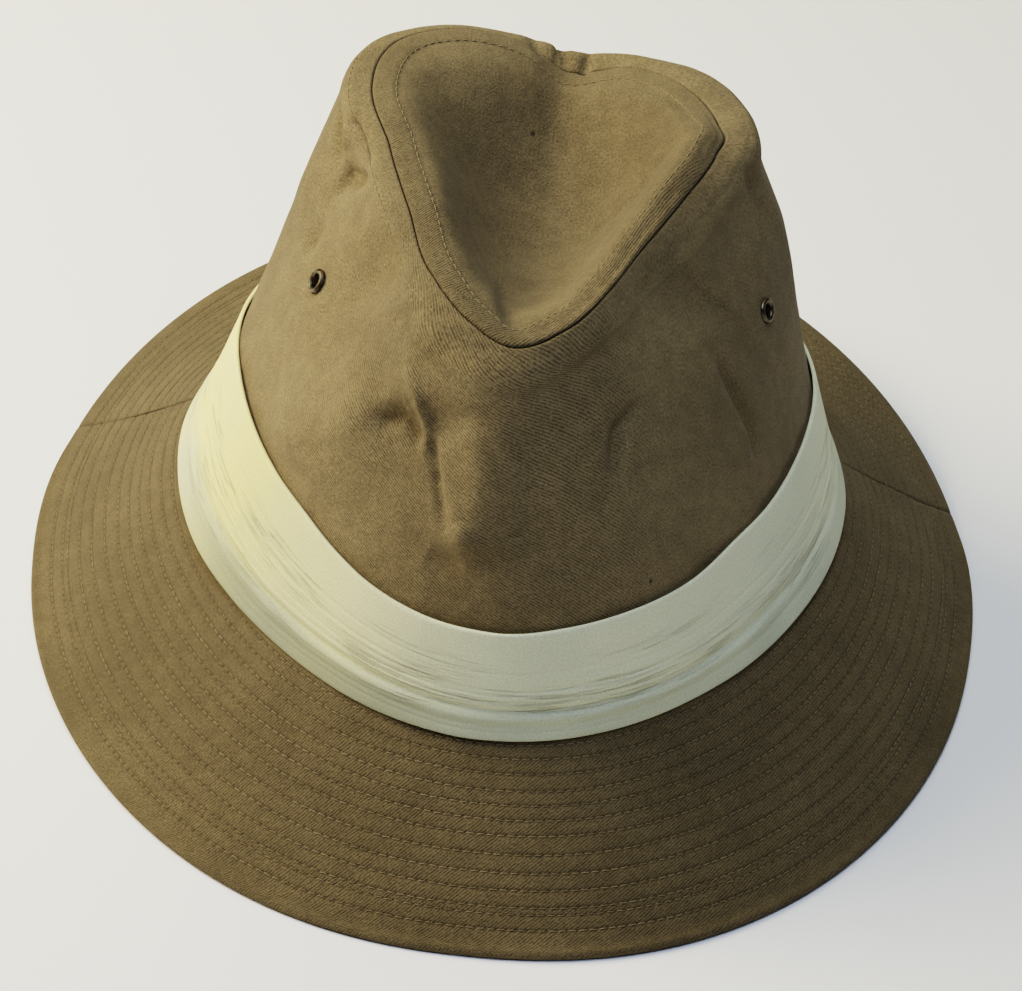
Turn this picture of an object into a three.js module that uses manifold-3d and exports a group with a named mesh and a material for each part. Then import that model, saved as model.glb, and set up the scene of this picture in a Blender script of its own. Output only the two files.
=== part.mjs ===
// A soft cotton twill fedora with a row-stitched brim, a teardrop crown and a wide cotton band.
// Millimetres and degrees, +Z up, the front of the hat at -Y, the brim's edge resting on z = 0.
// Angles round the hat start at the front and grow towards +X, the wearer's left.

import * as THREE from 'three';
import { mergeVertices } from 'three/addons/utils/BufferGeometryUtils.js';
import Module from 'manifold-3d';

// Cloth thicknesses and the clearance between sewn pieces

const CROWN_CLOTH = 1.6;
const BRIM_CLOTH = 2.2;
const BAND_CLOTH = 1.5;
const CLEARANCE = 0.3;

// The break, where crown and brim meet, is an oval a little narrower at the front than at the back.
// It lies lower by its dip at the front and back, and higher by the same at the sides.

const BREAK = { height: 41.6, dip: 1.6 };
const BREAK_OVAL = { halfWidth: 92.5, front: 99, back: 99, egg: 0.15, power: 2.1 };

// The brim's edge lies on the surface round the front and sides and lifts towards the back.

const EDGE_OVAL = { halfWidth: 138.7, front: 143, back: 160, egg: 0.13, power: 2.23 };
const EDGE_LIFT = { height: 34, fromAngle: 106, toAngle: 172 };
const BRIM_SEAM_ANGLE = 117;

// Gaps at the brim's sewn joins: against the crown, and between the two halves at the edge

const BRIM_INNER_GAP = 0.45;
const BRIM_SEAM_GAP = 0.45;

// The crown's side: a foot sewn inside the brim, a band height that leans in, a middle, a shoulder below
// the tip seam, and a rim that rolls over from the shoulder to the seam.

const FOOT_DEPTH = 3;
const BAND_HEIGHT = 34.8;
const BAND_DIP_SHARE = 0.7;
const BAND_LEAN = { front: 1, side: 12.7, power: 1.3 };
const MIDDLE = { reachShare: 0.48, heightShare: 0.55 };
const SHOULDER_DROP = 10;
const RIM_SHARE = 0.74;

// Places along one meridian of the crown: 0 at the break, 1 at the tip seam, 2 at the floor of the dent

const AT = { foot: -0.03, break: 0, bandTop: 0.3, middle: 0.62, shoulder: 0.88, rim: 0.945, seam: 1 };

// The tip seam round the crown: its reach from the axis and its height above the break, how far outside it
// the shoulder stands, and how much the rim rises. The seam is pinched at the front and dimpled at the back.

const SEAM_ROWS = [
  { angle: -172, reach: 67, height: 112.5, roll: 8, rise: 2 },
  { angle: -155, reach: 69, height: 117.2, roll: 7.5, rise: 0.5 },
  { angle: -138, reach: 67, height: 117.8, roll: 9.5, rise: 0.5 },
  { angle: -118, reach: 56, height: 117.5, roll: 11.5, rise: 1 },
  { angle: -95, reach: 42.5, height: 113, roll: 10.5, rise: 1 },
  { angle: -60, reach: 40, height: 108, roll: 8.6, rise: 0.5 },
  { angle: -32, reach: 50, height: 103, roll: 8, rise: 0.3 },
  { angle: -14, reach: 60.5, height: 99, roll: 8, rise: 0.3 },
  { angle: -3, reach: 64.5, height: 97.5, roll: 8, rise: 0.3 },
  { angle: 10, reach: 56, height: 99, roll: 8, rise: 0.3 },
  { angle: 28, reach: 44.5, height: 103, roll: 8, rise: 0.3 },
  { angle: 50, reach: 37.5, height: 107, roll: 8.6, rise: 0.5 },
  { angle: 78, reach: 38.5, height: 112, roll: 10, rise: 1 },
  { angle: 101, reach: 46, height: 117, roll: 12.5, rise: 1.5 },
  { angle: 116, reach: 51, height: 118.5, roll: 14.5, rise: 2 },
  { angle: 138, reach: 56, height: 117, roll: 14.5, rise: 2 },
  { angle: 158, reach: 61, height: 113.5, roll: 10.5, rise: 2.5 },
  { angle: 176, reach: 64, height: 107.5, roll: 10, rise: 6 },
];

// The teardrop dent in the tip: shares of the way in from the seam, and of the depth reached there.
// A flat sewn strip rises a little from the seam, rolls over and drops into the dent.

const DENT_FLOOR = { x: 0, y: 6, height: 84 };
const DENT_ROWS = [
  { way: 0.07, depth: -0.05 },
  { way: 0.16, depth: -0.085 },
  { way: 0.23, depth: -0.04 },
  { way: 0.32, depth: 0.2 },
  { way: 0.45, depth: 0.6 },
  { way: 0.65, depth: 0.89 },
  { way: 0.85, depth: 0.98 },
  { way: 1, depth: 1 },
];

// Soft hollows pressed into the crown's side: centre, spread and depth

const HOLLOW_ROWS = [
  { name: 'right pinch', angle: -101, at: 0.84, spreadAngle: 14, spreadAt: 0.08, depth: 3 },
  { name: 'left pinch', angle: 99, at: 0.84, spreadAngle: 14, spreadAt: 0.07, depth: 3 },
  { name: 'back dimple', angle: 177, at: 0.9, spreadAngle: 10, spreadAt: 0.14, depth: 4 },
];

// Creases in the crown's side: straight grooves from one place to another, or ridges where the depth is negative

const CREASE_ROWS = [
  { name: 'front edge', fromAngle: -26.5, fromAt: 0.96, toAngle: -22, toAt: 0.74, width: 14, depth: -4 },
  { name: 'front face', fromAngle: -4, fromAt: 0.93, toAngle: 4, toAt: 0.62, width: 12, depth: 2 },
  { name: 'front upper', fromAngle: -28, fromAt: 0.74, toAngle: -20, toAt: 0.72, width: 4, depth: 1.8 },
  { name: 'front long', fromAngle: -20, fromAt: 0.72, toAngle: -10, toAt: 0.53, width: 4.5, depth: 2.4 },
];
const CREASE_SCALE = { perDegree: 1.4, perAt: 118 };

// The hatband stands on the brim with its foot flared off the wall: stand-off at places up the wall

const BAND_FOOT = { innerOut: 3, lift: 0.4 };
const BAND_ROWS = [
  { at: 0.05, standOff: 1.5 },
  { at: 0.13, standOff: 0.6 },
  { at: AT.bandTop, standOff: CLEARANCE },
];

// The two air eyelets and the holes that they sit in

const EYELET_ROWS = [
  { name: 'eyelet_left', angle: 86, at: 0.655 },
  { name: 'eyelet_right', angle: -76, at: 0.69 },
];
const EYELET = { hole: 2.3, barrel: 2.9, crest: 3.15, washer: 3.9, flange: 4.2, sides: 14 };
const EYELET_EDGE = { inset: 0.2, height: 0.5 };
const EYELET_LIP = 0.35;
const EYELET_DOME = 0.85;
const EYELET_SEAT = 0.4;
const PUNCH = { radius: EYELET.barrel + CLEARANCE, length: 12 };

// Sampling: steps round the hat, how much closer they lie at front and back, and rows along each sheet

const STEPS_ROUND = 96;
const CROWDING = 0.15;
const SIDE_ROWS = [
  AT.foot, AT.break, 0.15, AT.bandTop, 0.39, 0.48, 0.56, 0.64, 0.72, 0.8, 0.87, 0.91, AT.rim, 0.975, AT.seam,
];
const TIP_ROWS = [AT.seam, 1.07, 1.16, 1.23, 1.32, 1.45, 1.68];
const BRIM_ROWS = [0, 0.14, 1];
const TINY = 1e-3;

// Colours and finishes

const CLOTH_FINISH = { roughness: 0.9, metalness: 0 };
const METAL_FINISH = { roughness: 0.45, metalness: 0.9 };
const MATERIALS = {
  brim: new THREE.MeshStandardMaterial({ name: 'brim_twill', color: 0x7d6a45, ...CLOTH_FINISH }),
  crown: new THREE.MeshStandardMaterial({ name: 'crown_twill', color: 0x85724b, ...CLOTH_FINISH }),
  band: new THREE.MeshStandardMaterial({ name: 'band_cotton', color: 0xdcd9bc, ...CLOTH_FINISH }),
  eyelet: new THREE.MeshStandardMaterial({ name: 'eyelet_metal', color: 0x4a3d2a, ...METAL_FINISH }),
};

// Small helpers

const radians = THREE.MathUtils.degToRad;
const mix = THREE.MathUtils.lerp;

function wrapped(angle) {
  return THREE.MathUtils.euclideanModulo(angle + 180, 360) - 180;
}

function ovalReach(oval, angle) {
  const across = Math.abs(Math.sin(radians(angle)));
  const along = Math.cos(radians(angle));
  const halfWidth = oval.halfWidth * (1 - oval.egg * along);
  const halfLength = along > 0 ? oval.front : oval.back;
  const sum = (across / halfWidth) ** oval.power + (Math.abs(along) / halfLength) ** oval.power;
  return sum ** (-1 / oval.power);
}

function onRay(angle, reach, z) {
  return new THREE.Vector3(reach * Math.sin(radians(angle)), -reach * Math.cos(radians(angle)), z);
}

function breakHeight(angle) {
  return BREAK.height - BREAK.dip * Math.cos(radians(2 * angle));
}

// Weights of a cubic at t from 0 to 1: for the first value and slope, then for the second value and slope
function cubicBlend(t) {
  return [
    2 * t ** 3 - 3 * t ** 2 + 1,
    t ** 3 - 2 * t ** 2 + t,
    -2 * t ** 3 + 3 * t ** 2,
    t ** 3 - t ** 2,
  ];
}

// One column of the seam table at any angle, joined smoothly from row to row and round the back
function seamColumn(angle, column) {
  const count = SEAM_ROWS.length;
  const turn = wrapped(angle);
  const row = (index) => {
    const turns = Math.floor(index / count);
    const found = SEAM_ROWS[index - turns * count];
    return { x: found.angle + 360 * turns, y: found[column] };
  };
  const index = SEAM_ROWS.findLastIndex((found) => found.angle <= turn);
  const [before, low, high, after] = [index - 1, index, index + 1, index + 2].map(row);
  const step = high.x - low.x;
  const [a, b, c, d] = cubicBlend((turn - low.x) / step);
  const slopeLow = (high.y - before.y) / (high.x - before.x);
  const slopeHigh = (after.y - low.y) / (after.x - low.x);
  return a * low.y + b * step * slopeLow + c * high.y + d * step * slopeHigh;
}

// The crown's outer face

function crownStations(angle) {
  const seamReach = seamColumn(angle, 'reach');
  const seamHeight = seamColumn(angle, 'height');
  const roll = seamColumn(angle, 'roll');
  const rise = seamColumn(angle, 'rise');
  const breakReach = ovalReach(BREAK_OVAL, angle);
  const sideShare = Math.abs(Math.sin(radians(angle))) ** BAND_LEAN.power;
  const bandReach = breakReach - mix(BAND_LEAN.front, BAND_LEAN.side, sideShare);
  const shoulderReach = seamReach + roll;
  const shoulderHeight = seamHeight - SHOULDER_DROP;
  const dip = breakHeight(angle) - BREAK.height;
  const bandHeight = BAND_HEIGHT + BAND_DIP_SHARE * dip;
  const ring = (at, reach, height) => ({ at, point: onRay(angle, reach, BREAK.height + height) });
  const seam = ring(AT.seam, seamReach, seamHeight);
  const floor = new THREE.Vector3(DENT_FLOOR.x, DENT_FLOOR.y, BREAK.height + DENT_FLOOR.height);
  const dent = DENT_ROWS.map((row) => {
    const point = seam.point.clone().lerp(floor, row.way);
    point.z = mix(seam.point.z, floor.z, row.depth);
    return { at: AT.seam + row.way, point };
  });
  return [
    ring(AT.foot, breakReach, dip - FOOT_DEPTH),
    ring(AT.break, breakReach, dip),
    ring(AT.bandTop, bandReach, bandHeight),
    ring(AT.middle, mix(bandReach, shoulderReach, MIDDLE.reachShare),
      mix(bandHeight, shoulderHeight, MIDDLE.heightShare)),
    ring(AT.shoulder, shoulderReach, shoulderHeight),
    ring(AT.rim, mix(seamReach, shoulderReach, RIM_SHARE), mix(shoulderHeight, seamHeight, RIM_SHARE) + rise),
    seam,
    ...dent,
  ];
}

function hollowDepth(angle, at) {
  let depth = 0;
  for (const row of HOLLOW_ROWS) {
    const round = wrapped(angle - row.angle) / row.spreadAngle;
    const along = (at - row.at) / row.spreadAt;
    depth += row.depth * Math.exp(-round * round - along * along);
  }
  for (const row of CREASE_ROWS) {
    const place = (a, s) => new THREE.Vector2(a * CREASE_SCALE.perDegree, s * CREASE_SCALE.perAt);
    const from = place(row.fromAngle, row.fromAt);
    const along = place(row.toAngle, row.toAt).sub(from);
    const offset = place(angle, at).sub(from);
    const share = THREE.MathUtils.clamp(offset.dot(along) / along.lengthSq(), 0, 1);
    const distance = offset.distanceTo(along.multiplyScalar(share)) / row.width;
    depth += row.depth * Math.exp(-distance * distance);
  }
  return depth;
}

function crownPoint(angle, at) {
  const stations = crownStations(angle);
  const last = stations.length - 1;
  const index = THREE.MathUtils.clamp(stations.findLastIndex((station) => station.at <= at), 0, last - 1);
  const slope = (k) => {
    const low = stations[Math.max(k - 1, 0)];
    const high = stations[Math.min(k + 1, last)];
    return high.point.clone().sub(low.point).divideScalar(high.at - low.at);
  };
  const [low, high] = [stations[index], stations[index + 1]];
  const step = high.at - low.at;
  const [a, b, c, d] = cubicBlend((at - low.at) / step);
  const point = low.point.clone().multiplyScalar(a)
    .addScaledVector(slope(index), b * step)
    .addScaledVector(high.point, c)
    .addScaledVector(slope(index + 1), d * step);
  return point.sub(onRay(wrapped(angle), hollowDepth(wrapped(angle), at), 0));
}

// The brim's upper face: along runs from 0 at the edge to 1 at the break

function brimPoint(angle, along) {
  const inner = ovalReach(BREAK_OVAL, angle) + BRIM_INNER_GAP;
  const outer = ovalReach(EDGE_OVAL, angle);
  const share = THREE.MathUtils.smoothstep(Math.abs(wrapped(angle)), EDGE_LIFT.fromAngle, EDGE_LIFT.toAngle);
  return onRay(angle, mix(outer, inner, along), mix(EDGE_LIFT.height * share, breakHeight(angle), along));
}

// Outward normal of a face given as point(angle, along)
function normalOf(point, angle, along) {
  const round = point(angle + TINY, along).sub(point(angle - TINY, along));
  const up = point(angle, along + TINY).sub(point(angle, along - TINY));
  return round.cross(up).normalize();
}

function pushedOut(point, angle, along, distance) {
  return point(angle, along).addScaledVector(normalOf(point, angle, along), distance);
}

// Steps round the hat, closer together at the pinch and the dimple
function roundSteps(count, from = -180, to = 180) {
  const angles = [];
  for (let k = 0; k <= count; k += 1) {
    const even = mix(from, to, k / count);
    angles.push(even - THREE.MathUtils.radToDeg(CROWDING * Math.sin(radians(2 * even))));
  }
  return angles;
}

// A closed sheet from rows of outer and inner points. Each row runs round the hat; rows follow one another
// upwards or inwards. A ring joins its ends, and a centre closes its last row with a fan.
function sheetGeometry(outerRows, innerRows, { ring, outerCentre, innerCentre }) {
  const points = [];
  const faces = [];
  const storePoint = (point) => points.push(point.x, point.y, point.z) / 3 - 1;
  const store = (rows) => rows.map((row) => row.map(storePoint));
  const outer = store(outerRows);
  const inner = store(innerRows);
  const rows = outer.length;
  const across = outer[0].length;
  const steps = ring ? across : across - 1;
  const quad = (a, b, c, d) => faces.push(a, b, c, a, c, d);
  for (let i = 0; i < steps; i += 1) {
    const next = (i + 1) % across;
    for (let j = 0; j < rows - 1; j += 1) {
      quad(outer[j][i], outer[j][next], outer[j + 1][next], outer[j + 1][i]);
      quad(inner[j][i], inner[j + 1][i], inner[j + 1][next], inner[j][next]);
    }
    quad(outer[0][next], outer[0][i], inner[0][i], inner[0][next]);
    if (!outerCentre) quad(outer.at(-1)[i], outer.at(-1)[next], inner.at(-1)[next], inner.at(-1)[i]);
  }
  if (outerCentre) {
    const top = storePoint(outerCentre);
    const under = storePoint(innerCentre);
    for (let i = 0; i < steps; i += 1) {
      const next = (i + 1) % across;
      faces.push(outer.at(-1)[i], outer.at(-1)[next], top);
      faces.push(inner.at(-1)[next], inner.at(-1)[i], under);
    }
  }
  if (!ring) {
    const end = across - 1;
    for (let j = 0; j < rows - 1; j += 1) {
      quad(outer[j][0], outer[j + 1][0], inner[j + 1][0], inner[j][0]);
      quad(outer[j + 1][end], outer[j][end], inner[j][end], inner[j + 1][end]);
    }
  }
  const geometry = new THREE.BufferGeometry();
  geometry.setAttribute('position', new THREE.Float32BufferAttribute(points, 3));
  geometry.setIndex(faces);
  geometry.computeVertexNormals();
  return geometry;
}

// Solids for cutting

const wasm = await Module();
wasm.setup();

function toSolid(geometry) {
  const bare = geometry.clone();
  for (const name of Object.keys(bare.attributes)) {
    if (name !== 'position') bare.deleteAttribute(name);
  }
  const merged = mergeVertices(bare);
  return new wasm.Manifold(new wasm.Mesh({
    numProp: 3,
    vertProperties: new Float32Array(merged.attributes.position.array),
    triVerts: new Uint32Array(merged.index.array),
  }));
}

function fromSolid(solid) {
  const mesh = solid.getMesh();
  const geometry = new THREE.BufferGeometry();
  geometry.setAttribute('position', new THREE.BufferAttribute(new Float32Array(mesh.vertProperties), 3));
  geometry.setIndex(new THREE.BufferAttribute(new Uint32Array(mesh.triVerts), 1));
  geometry.computeVertexNormals();
  return geometry;
}

// Crown

const ringAngles = roundSteps(STEPS_ROUND).slice(0, -1);

// The seam's two cut edges stand half a clearance to each side of it
function seamTrim(angle, side) {
  const speed = crownPoint(angle, AT.seam + TINY).distanceTo(crownPoint(angle, AT.seam - TINY)) / (2 * TINY);
  return AT.seam + side * (CLEARANCE / 2) / speed;
}

function crownRow(at, depth, side) {
  return ringAngles.map((angle) => {
    const place = at === AT.seam ? seamTrim(angle, side) : at;
    return crownPoint(angle, place).addScaledVector(normalOf(crownPoint, angle, at), -depth);
  });
}

function crownSheet(rows, side, centres) {
  const outer = rows.map((at) => crownRow(at, 0, side));
  const inner = rows.map((at) => crownRow(at, CROWN_CLOTH, side));
  return sheetGeometry(outer, inner, { ring: true, ...centres });
}

function eyeletFrame(row) {
  const place = crownPoint(row.angle, row.at);
  const turn = new THREE.Quaternion().setFromUnitVectors(
    new THREE.Vector3(0, 1, 0), normalOf(crownPoint, row.angle, row.at));
  return { place, turn };
}

function crownSide() {
  let solid = toSolid(crownSheet(SIDE_ROWS, -1, {}));
  for (const row of EYELET_ROWS) {
    const { place, turn } = eyeletFrame(row);
    const punch = new THREE.CylinderGeometry(PUNCH.radius, PUNCH.radius, PUNCH.length, EYELET.sides);
    punch.applyQuaternion(turn).translate(place.x, place.y, place.z);
    solid = solid.subtract(toSolid(punch));
  }
  return fromSolid(solid);
}

function crownTip() {
  const outerCentre = new THREE.Vector3(DENT_FLOOR.x, DENT_FLOOR.y, BREAK.height + DENT_FLOOR.height);
  const innerCentre = outerCentre.clone().setZ(outerCentre.z - CROWN_CLOTH);
  return crownSheet(TIP_ROWS, 1, { outerCentre, innerCentre });
}

// Brim

// The lower face: parallel to the upper one, cut level where the edge rests and upright at the crown
function brimUnder(angle, along) {
  const top = brimPoint(angle, along);
  const under = pushedOut(brimPoint, angle, along, -BRIM_CLOTH);
  const up = brimPoint(angle, along + TINY).sub(brimPoint(angle, along - TINY)).normalize();
  if (along === 0 && under.z < 0) under.addScaledVector(up, -under.z / up.z);
  if (along === 1) {
    const inward = Math.hypot(top.x, top.y) - Math.hypot(under.x, under.y);
    under.addScaledVector(up, -inward / Math.hypot(up.x, up.y));
  }
  return under;
}

function brimHalf(fromAngle, toAngle) {
  const share = (toAngle - fromAngle) / 360;
  const angles = roundSteps(Math.round(STEPS_ROUND * share), fromAngle, toAngle);
  const ends = roundSteps(1, fromAngle, toAngle);
  const stretch = (toAngle - fromAngle) / (ends[1] - ends[0]);
  const fitted = angles.map((angle) => fromAngle + (angle - ends[0]) * stretch);
  const outer = BRIM_ROWS.map((along) => fitted.map((angle) => brimPoint(angle, along)));
  const inner = BRIM_ROWS.map((along) => fitted.map((angle) => brimUnder(angle, along)));
  return sheetGeometry(outer, inner, { ring: false });
}

// Hatband

function hatband() {
  const onBrim = (angle, out) => {
    const width = ovalReach(EDGE_OVAL, angle) - ovalReach(BREAK_OVAL, angle);
    return pushedOut(brimPoint, angle, 1 - out / width, BAND_FOOT.lift);
  };
  const foot = (out) => ringAngles.map((angle) => onBrim(angle, out));
  const row = (at, out) => ringAngles.map((angle) => pushedOut(crownPoint, angle, at, out));
  const outer = [foot(BAND_FOOT.innerOut + BAND_CLOTH)];
  const inner = [foot(BAND_FOOT.innerOut)];
  for (const { at, standOff } of BAND_ROWS) {
    outer.push(row(at, standOff + BAND_CLOTH));
    inner.push(row(at, standOff));
  }
  return sheetGeometry(outer, inner, { ring: true });
}

// Eyelets: a domed outer flange, a barrel through the cloth and a washer inside, turned as one ring

function eyeletGeometry() {
  const seat = EYELET_SEAT;
  const back = -CROWN_CLOTH - EYELET_SEAT;
  const profile = [
    [EYELET.hole, back - EYELET_DOME],
    [EYELET.washer, back - EYELET_DOME],
    [EYELET.washer, back],
    [EYELET.barrel, back],
    [EYELET.barrel, seat],
    [EYELET.flange, seat],
    [EYELET.flange - EYELET_EDGE.inset, seat + EYELET_EDGE.height],
    [EYELET.crest, seat + EYELET_DOME],
    [EYELET.hole, seat + EYELET_LIP],
    [EYELET.hole, back - EYELET_DOME],
  ];
  return new THREE.LatheGeometry(profile.map(([radius, z]) => new THREE.Vector2(radius, z)), EYELET.sides);
}

// Assembly, with the middle of its plan on the origin

const hat = new THREE.Group();
hat.name = 'fedora';
hat.position.y = (EDGE_OVAL.front - EDGE_OVAL.back) / 2;

function addPiece(name, geometry, material) {
  const mesh = new THREE.Mesh(geometry, material);
  mesh.name = name;
  hat.add(mesh);
  return mesh;
}

const seamGapAngle = THREE.MathUtils.radToDeg(BRIM_SEAM_GAP / 2 / EDGE_OVAL.halfWidth);
const frontEnd = BRIM_SEAM_ANGLE - seamGapAngle;
const backStart = BRIM_SEAM_ANGLE + seamGapAngle;
addPiece('brim_front', brimHalf(-frontEnd, frontEnd), MATERIALS.brim);
addPiece('brim_back', brimHalf(backStart, 360 - backStart), MATERIALS.brim);
addPiece('crown_side', crownSide(), MATERIALS.crown);
addPiece('crown_tip', crownTip(), MATERIALS.crown);
addPiece('hatband', hatband(), MATERIALS.band);
for (const row of EYELET_ROWS) {
  const eyelet = addPiece(row.name, eyeletGeometry(), MATERIALS.eyelet);
  const { place, turn } = eyeletFrame(row);
  eyelet.position.copy(place);
  eyelet.quaternion.copy(turn);
}

const model = new THREE.Group();
model.add(hat);
export default model;
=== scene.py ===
# A soft cotton twill fedora on a pale floor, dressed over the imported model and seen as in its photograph.
# Shapes are worked out in millimetres and degrees, with the front of the hat at -Y, and stored in metres.
# Angles round the hat start at the front and grow towards +X, the wearer's left.

import math

import bpy
import numpy as np
from mathutils import Matrix, Vector
from mathutils.kdtree import KDTree


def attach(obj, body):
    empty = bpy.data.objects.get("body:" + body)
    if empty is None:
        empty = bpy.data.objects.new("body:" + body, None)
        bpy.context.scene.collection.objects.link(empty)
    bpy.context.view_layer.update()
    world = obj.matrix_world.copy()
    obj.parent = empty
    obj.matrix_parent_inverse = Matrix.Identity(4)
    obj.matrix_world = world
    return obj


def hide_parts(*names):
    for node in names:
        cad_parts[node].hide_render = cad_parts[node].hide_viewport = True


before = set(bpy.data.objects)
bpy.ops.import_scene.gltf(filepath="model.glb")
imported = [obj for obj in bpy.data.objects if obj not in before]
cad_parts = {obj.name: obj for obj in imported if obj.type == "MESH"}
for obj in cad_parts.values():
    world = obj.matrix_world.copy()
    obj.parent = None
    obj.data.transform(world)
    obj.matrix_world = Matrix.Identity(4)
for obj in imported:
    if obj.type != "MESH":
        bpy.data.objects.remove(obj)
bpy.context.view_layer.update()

# Cloth thicknesses and sewn gaps

CROWN_CLOTH = 1.6
BRIM_CLOTH = 2.2
BAND_CLOTH = 1.1
BRIM_INNER_GAP = 0.45
BRIM_SEAM_GAP = 0.12

# The break between crown and brim, and the brim's edge

BREAK_HEIGHT = 41.6
BREAK_DIP = 1.6
BREAK_OVAL = {"half_width": 92.5, "front": 99.0, "back": 99.0, "egg": 0.15, "power": 2.1}
EDGE_OVAL = {"half_width": 138.7, "front": 143.0, "back": 160.0, "egg": 0.13, "power": 2.23}
EDGE_LIFT = {"height": 34.0, "start": 106.0, "end": 172.0}
BRIM_SEAM_ANGLE = 116.5
BRIM_SEAM_SLANT = 4.5
PLAN_MIDDLE_Y = (EDGE_OVAL["front"] - EDGE_OVAL["back"]) / 2

# The crown's side, from its foot up to the tip seam

FOOT_DEPTH = 3.0
BAND_HEIGHT = 34.8
BAND_DIP_SHARE = 0.7
BAND_LEAN = {"front": 1.0, "side": 12.7, "power": 1.3}
MIDDLE = {"reach_share": 0.48, "height_share": 0.55}
SHOULDER_DROP = 10.0
RIM_SHARE = 0.74

# Places up the crown, from 0 at the break to 1 at the tip seam and 2 at the floor of the dent

FOOT_AT, BAND_TOP_AT, MIDDLE_AT, SHOULDER_AT, RIM_AT, SEAM_AT = -0.03, 0.3, 0.62, 0.88, 0.945, 1.0

# The tip seam: angle, reach from the axis, height above the break, shoulder outside it, rise of the rim

SEAM_ROWS = np.array([
    (-172, 67, 112.5, 8, 2), (-155, 69, 117.2, 7.5, 0.5), (-138, 67, 117.8, 9.5, 0.5),
    (-118, 56, 117.5, 11.5, 1), (-95, 42.5, 113, 10.5, 1), (-60, 40, 108, 8.6, 0.5),
    (-32, 50, 103, 8, -0.5), (-14, 60.5, 99, 8, -2), (-3, 64.5, 97.5, 8, -2.5),
    (10, 56, 99, 8, -3), (28, 44.5, 103, 8, -4), (50, 37.5, 107, 8.6, -4.5),
    (78, 38.5, 112, 10, -3.5), (101, 46.5, 117, 12.5, 0.3), (108, 50.2, 118.1, 13.2, 1),
    (116, 51, 118.5, 14.5, 2), (138, 56, 117, 14.5, 2), (158, 61, 113.5, 10.5, 2.5),
    (176, 64, 107.5, 10, 6),
])

# The dent in the tip: its floor, then rows of the share of the way in from the seam,
# the share of the depth, and that share where the dent falls softly

DENT_FLOOR = np.array([0.0, 6.0, BREAK_HEIGHT + 84.0])
DENT_ROWS = (
    (0.07, -0.05, 0.0), (0.16, -0.085, 0.03), (0.23, -0.03, 0.09), (0.32, 0.18, 0.2),
    (0.45, 0.53, 0.41), (0.65, 0.85, 0.74), (0.85, 0.97, 0.94), (1.0, 1.0, 1.0),
)

# The rolled strip beside the tip seam: angle, share of its lift, share of its width, softness of the fall

ROLL_ROWS = np.array([
    (-175, 0.1, 1.1, 0.5), (-140, 0.2, 1.3, 0.9), (-110, 0.6, 1.35, 0.8), (-60, 1.0, 1.25, 0.2),
    (-20, 1.0, 1.1, 0.0), (2, 0.9, 1.0, 0.0), (28, 1.0, 1.0, 0.0), (60, 1.1, 1.0, 0.0),
    (103, 1.0, 1.0, 0.0), (122, 0.3, 1.0, 0.1), (150, 0.1, 1.0, 0.3),
])
WALL_AT = [FOOT_AT, 0, BAND_TOP_AT, MIDDLE_AT, SHOULDER_AT, RIM_AT, SEAM_AT]
STATION_AT = np.array(WALL_AT + [SEAM_AT + row[0] for row in DENT_ROWS])

# Broad hollows: angle, place up the crown, spread in degrees and along the crown, depth

HOLLOWS = ((-101, 0.84, 14, 0.08, 3.0), (99, 0.84, 14, 0.07, 3.0), (177, 0.9, 10, 0.14, 4.0))


# Folds of the crown

def crease(width, depth, *path, crest=0.0, soft=False):
    """A fold as a stroke through places (angle, place up the crown).

    A positive depth presses the cloth in, and a negative one lifts it. A fold with a crest has straight
    flanks that meet in an edge rounded by it, and its width is then the reach of a flank. A soft fold eases
    in slowly.
    """
    return {"width": width, "depth": depth, "path": path, "crest": crest, "soft": soft}


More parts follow.
